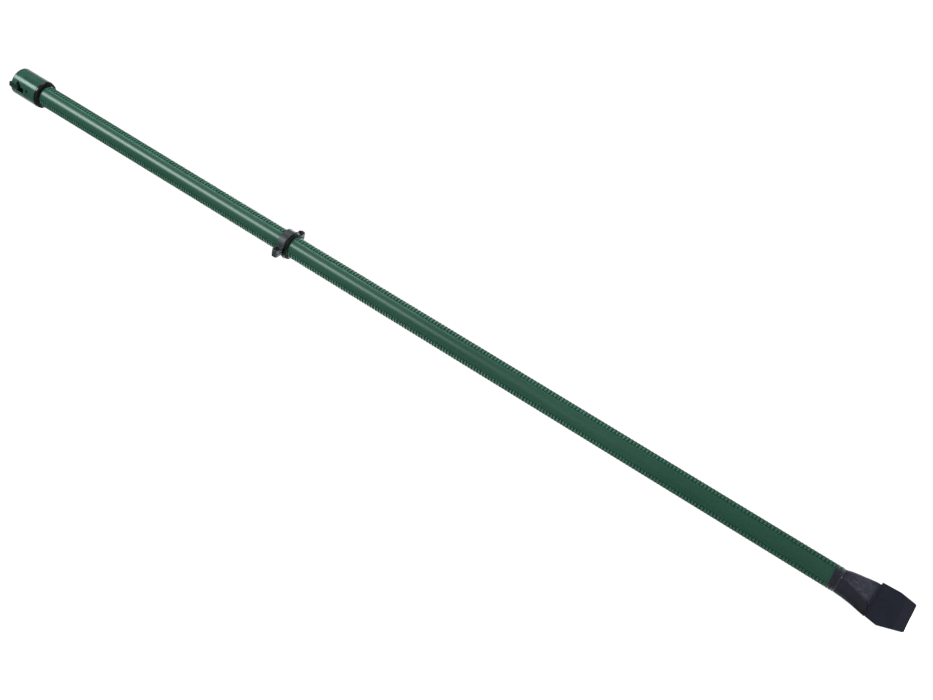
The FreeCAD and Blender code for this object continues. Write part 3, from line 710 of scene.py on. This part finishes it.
def neck_point(u, z):
    w = cubic(z, WIDTHS)
    t = min(w, (GIRTH - 2 * w) / (math.pi - 2))
    r, flat = t / 2, max(0.0, w - t)
    total = 2 * math.pi * r + 2 * flat
    s = (u % 1.0) * total
    q = math.pi * r / 2
    if s < q:
        a = s / r
        x, y, nx, ny = flat / 2 + r * math.cos(a), r * math.sin(a), math.cos(a), math.sin(a)
    elif s < q + flat:
        x, y, nx, ny = flat / 2 - (s - q), r, 0, 1
    elif s < 3 * q + flat:
        a = math.pi / 2 + (s - q - flat) / r
        x, y, nx, ny = -flat / 2 + r * math.cos(a), r * math.sin(a), math.cos(a), math.sin(a)
    elif s < 3 * q + 2 * flat:
        x, y, nx, ny = -flat / 2 + (s - 3 * q - flat), -r, 0, -1
    else:
        a = 1.5 * math.pi + (s - 3 * q - 2 * flat) / r
        x, y, nx, ny = flat / 2 + r * math.cos(a), r * math.sin(a), math.cos(a), math.sin(a)
    if y < 0:
        front = smooth(-y / max(1.0, r) * 1.5)
        # one broad facet faces up and to the right, the other falls away to the left
        ridge = 2.0 * smooth((98 - z) / 28) * smooth((z - 48) / 13)
        xr = -2.8 + (z - 59.4) * 0.21667
        d = x - xr
        prof = 1 - d / (w / 2 - xr) if d > 0 else 1 + d / (w / 2 + xr)
        y -= ridge * max(0.0, prof) * front
        # two creases that meet at the left end of the tube's edge
        for x0, z0, x1, z1, depth, wid in ((-3.6, 57.4, -10.8, 49.0, 1.3, 1.4), (8.0, 52.4, -11.0, 49.2, 0.6, 0.9)):
            dx, dz = x1 - x0, z1 - z0
            tt = max(0.0, min(1.0, ((x - x0) * dx + (z - z0) * dz) / (dx * dx + dz * dz)))
            dist = math.hypot(x - (x0 + tt * dx), z - (z0 + tt * dz))
            y += depth * math.exp(-(dist / wid) ** 2) * front * smooth(tt * 3 + 0.1)
    else:
        back = smooth(y / max(1.0, r) * 1.5)
        y -= 0.5 * math.exp(-((x - 2) / 5) ** 2) * smooth((62 - z) / 10) * back
    nz = noise.noise(Vector((x * 0.18, y * 0.18, z * 0.16)))
    amp = 0.16 * smooth((96 - z) / 12)
    return (x + nx * nz * amp + cubic(z, SHIFT), y + ny * nz * amp, z)


cols, rows = 208, 92
verts = []
for j in range(rows):
    z = Z_END + 0.02 + (Z_NECK_TOP - Z_END - 0.04) * j / (rows - 1)
    for i in range(cols):
        x, y, zz = neck_point(i / cols, z)
        verts.append((x * MM, y * MM, zz * MM))
faces = grid_faces(rows, cols, True)
# the tube's cut edge, turned in towards the tang
base = len(verts)
for i in range(cols):
    x, y, zz = neck_point(i / cols, Z_END)
    verts.append((x * 0.93 * MM, y * 0.55 * MM, Z_END * MM))
for i in range(cols):
    x, y, _ = neck_point(i / cols, Z_NECK_TOP)
    verts.append((x * 0.89 * MM, y * 0.89 * MM, Z_NECK_TOP * MM))
top = (rows - 1) * cols
for i in range(cols):
    i2 = (i + 1) % cols
    faces.append((base + i, base + i2, i2, i))
    faces.append((top + i, top + i2, base + cols + i2, base + cols + i))
    faces.append((base + i2, base + i, base + cols + i, base + cols + i2))
neck = make_mesh("flattened_neck", verts, faces, M_NECK)
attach(neck, "bar")
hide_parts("neck")


def forge(co):
    out = co.copy()
    for i in range(len(out)):
        p = Vector(out[i] / MM)
        k = 0.10 * noise.noise(p * 0.12) + 0.04 * noise.noise(p * 0.45)
        out[i, 1] += k * MM * (1 if out[i, 1] > 0 else -1) * 0.8
        out[i, 0] += 0.08 * noise.noise(p * 0.2 + Vector((9, 0, 0))) * MM
    out[:, 2] = np.maximum(out[:, 2], 0.0)
    return out


blade = from_cad("chisel_blade", "blade_plate", M_BLADE, 0.45, 3, displace=forge)
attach(blade, "bar")
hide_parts("blade_plate")

# Small irregular weld run round the end of the tube
wd_lo, wd_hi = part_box("blade_weld")
verts, path = [], []
N = 420
for i in range(N):
    x, y, _ = neck_point(i / N, Z_END + 0.3)
    path.append((x, y))
ringn = 10
for i, (x, y) in enumerate(path):
    x0, y0 = path[(i - 1) % N]
    x1, y1 = path[(i + 1) % N]
    tx, ty = x1 - x0, y1 - y0
    ln = math.hypot(tx, ty) or 1.0
    nx, ny = ty / ln, -tx / ln
    lump = 0.85 + 0.18 * abs(math.sin(i * math.pi / 5.0)) + 0.12 * noise.noise(Vector((i * 0.11, 3.0, 0.0)))
    for k in range(ringn):
        a = 2 * math.pi * k / ringn
        rr = 0.72 * lump
        verts.append(((x + nx * (rr * math.cos(a) - 0.15)) * MM, (y + ny * (rr * math.cos(a) - 0.15)) * MM,
                      (Z_END - 0.1 + 1.25 * rr * math.sin(a)) * MM))
faces = []
for i in range(N):
    for k in range(ringn):
        a, b = i * ringn + k, i * ringn + (k + 1) % ringn
        c, d = ((i + 1) % N) * ringn + (k + 1) % ringn, ((i + 1) % N) * ringn + k
        faces.append((a, b, c, d))
weld = make_mesh("weld_run", verts, faces, M_NECK)
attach(weld, "bar")
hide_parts("blade_weld")

# ------------------------------------------------------------------- the head
hs_lo, hs_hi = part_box("head_socket")
Z_MOUTH, Z_TOP = hs_lo.z / MM, hs_hi.z / MM
def square_ledge(co):
    """Keep the two inner steps square, so the plunger's disc has its full travel."""
    out = co.copy()
    r = np.hypot(co[:, 0], co[:, 1]) / MM
    z = co[:, 2] / MM
    for step, r_big in ((Z_TOP - 26.0, 17.6), (Z_TOP - 9.0, 18.0)):
        corner = (np.abs(z - step) < 1.3) & (r > r_big - 1.3) & (r < r_big + 0.6)
        wall = corner & (z - step > r_big - r)
        floor_ = corner & ~wall
        k = np.where(wall, r_big / np.maximum(r, 1e-9), 1.0)
        out[:, 0] *= k
        out[:, 1] *= k
        out[floor_, 2] = np.minimum(out[floor_, 2], step * MM)
    guide = (np.abs(r - 17.5) < 0.35) & (z > Z_TOP - 25.9) & (z < Z_TOP - 8.9)
    k = np.where(guide, 17.6 / np.maximum(r, 1e-9), 1.0)
    out[:, 0] *= k
    out[:, 1] *= k
    flat = (np.abs(z - (Z_TOP - 26.0)) < 0.6) & (r < 16.4)
    out[flat, 2] = np.minimum(out[flat, 2], (Z_TOP - 26.0) * MM)
    # The end of each slot's hook sits a little lower, level with the disc.
    phi = np.degrees(np.arctan2(-co[:, 0], -co[:, 1]))
    off = (phi - 20.0 + 90.0) % 180.0 - 90.0
    out[:, 2] -= 1.6 * MM * np.exp(-(off / 11.0) ** 2) * np.exp(-((z - (Z_TOP - 8.75)) / 2.4) ** 2)
    return out


head = from_cad("socket_sleeve", "head_socket", M_ENAMEL, 0.34, 4,
                snap=((21.0, Z_MOUTH + 0.9, Z_TOP - 1.5, 0.30), (18.0, Z_TOP - 8.4, Z_TOP - 0.8, 0.30),
                      (17.5, Z_TOP - 25.5, Z_TOP - 9.8, 0.22)), displace=square_ledge)
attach(head, "bar")
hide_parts("head_socket")

mr_lo, mr_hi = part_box("mouth_ring")
zb, zt = mr_lo.z / MM, mr_hi.z / MM
prof = [(15.79, zt), (15.79, zb + 0.3), (15.95, zb + 0.06), (16.25, zb)]
prof += [(16.6 + 5.05 * math.cos(math.radians(a)), zb + 5.0 + 4.98 * math.sin(math.radians(a)))
         for a in (-86, -78, -70, -62, -54, -46, -38, -30, -22, -14, -7, 0)]
prof += [(21.62, zb + 5.6), (21.45, zt - 0.35), (21.2, zt - 0.12), (20.8, zt)]
ring = lathe("mouth_ring_rubber", prof, 192, M_RING,
             wobble=lambda a, j, r, z: 0.03 * noise.noise(Vector((math.cos(a) * 4, math.sin(a) * 4, z))) if r > 16.5 else 0)
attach(ring, "bar")
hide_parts("mouth_ring")

# ------------------------------------------------------------------ the collar
cf_lo, cf_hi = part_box("collar_front")
zc0, zc1 = cf_lo.z / MM, cf_hi.z / MM
for name, node in (("clamp_half_front", "collar_front"), ("clamp_half_back", "collar_back")):
    ob = from_cad(name, node, M_GREY, 0.28, 4, snap=((21.0, zc0 + 1.3, zc1 - 1.3, 0.25),))
    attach(ob, "clamp_collar")
    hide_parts(node)

# --------------------------------------------------------- the plunger's spring
# It stands on the bush (bar) and carries the plunger.
sp_lo, sp_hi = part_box("plunger_spring")
WIRE_R, COIL_R, TURNS, STEPS, SIDES = 0.8, 8.2, 7, 48, 12
sz0, sz1 = sp_lo.z / MM + WIRE_R + 0.01, sp_hi.z / MM - WIRE_R - 0.01
rise = (sz1 - sz0) / (TURNS * 2 * math.pi)
sv, sf = [], []
for j in range(TURNS * STEPS + 1):
    a = 2 * math.pi * j / STEPS
    er = Vector((math.cos(a), math.sin(a), 0))
    tan = Vector((-COIL_R * math.sin(a), COIL_R * math.cos(a), rise)).normalized()
    nb = tan.cross(er)
    c = er * COIL_R + Vector((0, 0, sz0 + rise * a))
    for i in range(SIDES):
        f = 2 * math.pi * i / SIDES
        sv.append(tuple((c + er * (WIRE_R * math.cos(f)) + nb * (WIRE_R * math.sin(f))) * MM))
for j in range(TURNS * STEPS):
    for i in range(SIDES):
        k = (i + 1) % SIDES
        sf.append((j * SIDES + i, j * SIDES + k, (j + 1) * SIDES + k, (j + 1) * SIDES + i))
sf.append(tuple(reversed(range(SIDES))))
sf.append(tuple(TURNS * STEPS * SIDES + i for i in range(SIDES)))
coil = make_mesh("plunger_coil", sv, sf, M_SPRING)
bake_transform(coil)
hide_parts("plunger_spring")

# ------------------------------------------ pieces kept from the CAD, finished
for node, mat in (("core_tube", M_BLACK), ("neck_joiner", M_DARK), ("sleeve_rivets", M_RIVET), ("head_pins", M_PIN),
                  ("guide_bush", M_BRIGHT), ("plunger", M_MOULD),
                  ("plunger_washer", M_BRIGHT), ("plunger_clip", M_SPRING), ("collar_liner", M_LINER),
                  ("collar_screws", M_PIN), ("collar_washers", M_PIN), ("collar_nuts", M_PIN)):
    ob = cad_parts[node]
    if not ob.material_slots:
        ob.data.materials.append(mat)
    for s in ob.material_slots:
        s.material = mat

# ------------------------------------------------------------- camera and light
F_PX, IMG_W = 1300.0, 933.0
THETA = math.radians(17.53)
D_VEC, N_VEC = Vector((0.85365, 0.52084)), Vector((-0.52084, 0.85365))
DIST, Z_AIM, W_OFF = 1.7437, 0.6498, -2.27
FLOOR_Z = -0.25
fwd = Vector((0, math.cos(THETA), math.sin(THETA)))
e_t = Vector((0, math.sin(THETA), -math.cos(THETA)))
e_w = Vector((-1, 0, 0))
right = (D_VEC.x * e_t + N_VEC.x * e_w).normalized()
up = -(D_VEC.y * e_t + N_VEC.y * e_w).normalized()
cam_data = bpy.data.cameras.new("camera")
cam = bpy.data.objects.new("camera", cam_data)
scene.collection.objects.link(cam)
cam_data.sensor_width = 36.0
cam_data.lens = 36.0 * F_PX / IMG_W
cam_data.clip_start, cam_data.clip_end = 0.05, 60.0
cam.matrix_world = Matrix.Translation(Vector((0, 0, Z_AIM)) + e_w * (W_OFF / F_PX * DIST) - fwd * DIST) @ Matrix(
    (right, up, -fwd)).transposed().to_4x4()
scene.camera = cam

world = bpy.data.worlds.new("studio")
scene.world = world
world.use_nodes = True
wt = world.node_tree
bg = wt.nodes["Background"]


def world_blend():
    """A pale studio: bright behind the object, dim on the camera's side, paler to the right."""
    co = wt.nodes.new("ShaderNodeTexCoord").outputs["Generated"]
    sep = wt.nodes.new("ShaderNodeSeparateXYZ")
    wt.links.new(co, sep.inputs[0])

    def ranged(v, a0, a1, b0, b1):
        m = wt.nodes.new("ShaderNodeMapRange")
        m.interpolation_type = "SMOOTHSTEP"
        wt.links.new(v, m.inputs["Value"])
        for k, x in (("From Min", a0), ("From Max", a1), ("To Min", b0), ("To Max", b1)):
            m.inputs[k].default_value = x
        return m.outputs["Result"]

    def op(kind, a, b):
        m = wt.nodes.new("ShaderNodeMath")
        m.operation = kind
        wt.links.new(a, m.inputs[0])
        if hasattr(b, "is_linked"):
            wt.links.new(b, m.inputs[1])
        else:
            m.inputs[1].default_value = b
        return m.outputs[0]

    flat = op("SQRT", op("ADD", op("MULTIPLY", sep.outputs[0], sep.outputs[0]),
                         op("MULTIPLY", sep.outputs[1], sep.outputs[1])), 0.0)
    back = ranged(op("DIVIDE", sep.outputs[1], flat), BACK_FROM, BACK_TO, 0.0, 1.0)
    side = ranged(sep.outputs[0], -1.0, 1.0, SIDE_LEFT, SIDE_RIGHT)
    rise = ranged(sep.outputs[2], 0.0, 0.28, LOW, MID)
    fall = ranged(sep.outputs[2], 0.25, 0.52, 1.0, HIGH)
    front = op("MULTIPLY", op("MULTIPLY", side, rise), fall)
    m = wt.nodes.new("ShaderNodeMix")
    m.data_type = "FLOAT"
    wt.links.new(back, m.inputs[0])
    wt.links.new(front, m.inputs[2])
    m.inputs[3].default_value = 0.95
    # plain white backdrop wherever one looks; only the light is graded
    seen = wt.nodes.new("ShaderNodeMix")
    seen.data_type = "FLOAT"
    wt.links.new(wt.nodes.new("ShaderNodeLightPath").outputs["Is Camera Ray"], seen.inputs[0])
    wt.links.new(m.outputs[0], seen.inputs[2])
    seen.inputs[3].default_value = 1.06
    return seen.outputs[0]


BACK_FROM, BACK_TO = 0.28, 0.88
SIDE_LEFT, SIDE_RIGHT = 0.85, 1.20
LOW, MID, HIGH = 0.08, 0.70, 0.35
bg.inputs["Color"].default_value = (0.985, 1.0, 1.0, 1)
wt.links.new(world_blend(), bg.inputs["Strength"])


def area(name, loc, aim, w, h, power, colour=(1, 1, 1), spin=0.0):
    d = bpy.data.lights.new(name, "AREA")
    d.shape = "RECTANGLE"
    d.size, d.size_y = w, h
    d.energy = power
    d.color = colour
    o = bpy.data.objects.new(name, d)
    scene.collection.objects.link(o)
    q = (Vector(aim) - Vector(loc)).to_track_quat("-Z", "Y")
    o.matrix_world = Matrix.Translation(loc) @ q.to_matrix().to_4x4() @ Matrix.Rotation(math.radians(spin), 4, "Z")
    o.visible_camera = False
    return o


area("key_strip", (0.20, -2.0, 2.60), (0, 0, 1.3), 0.80, 1.75, 56, spin=-4)
area("right_fill", (1.6, -0.6, 1.9), (0, 0, 1.2), 0.9, 1.2, 7)
area("floor_light", (0.0, 3.4, 2.6), (0, 3.9, 0), 5.0, 4.0, 520)

# pale seamless floor, a little below the object
floor_me = bpy.data.meshes.new("floor")
floor = bpy.data.objects.new("floor", floor_me)
scene.collection.objects.link(floor)
bm = bmesh.new()
bmesh.ops.create_grid(bm, x_segments=24, y_segments=24, size=3.4)
bm.to_mesh(floor_me)
bm.free()
floor.location = (0, 0, FLOOR_Z)
nf = Nodes("m_floor")
nf.put("Base Color", nf.mix(nf.map(nf.noise(1.5, 3.0), 0.3, 0.7), (0.93, 0.93, 0.93), (0.96, 0.96, 0.96)))
nf.put("Roughness", 0.9)
nf.put("Specular IOR Level", 0.1)
floor_me.materials.append(nf.mat)

scene.view_settings.view_transform = "Standard"
scene.view_settings.look = "None"
scene.view_settings.exposure = 0.0
scene.view_settings.gamma = 1.0
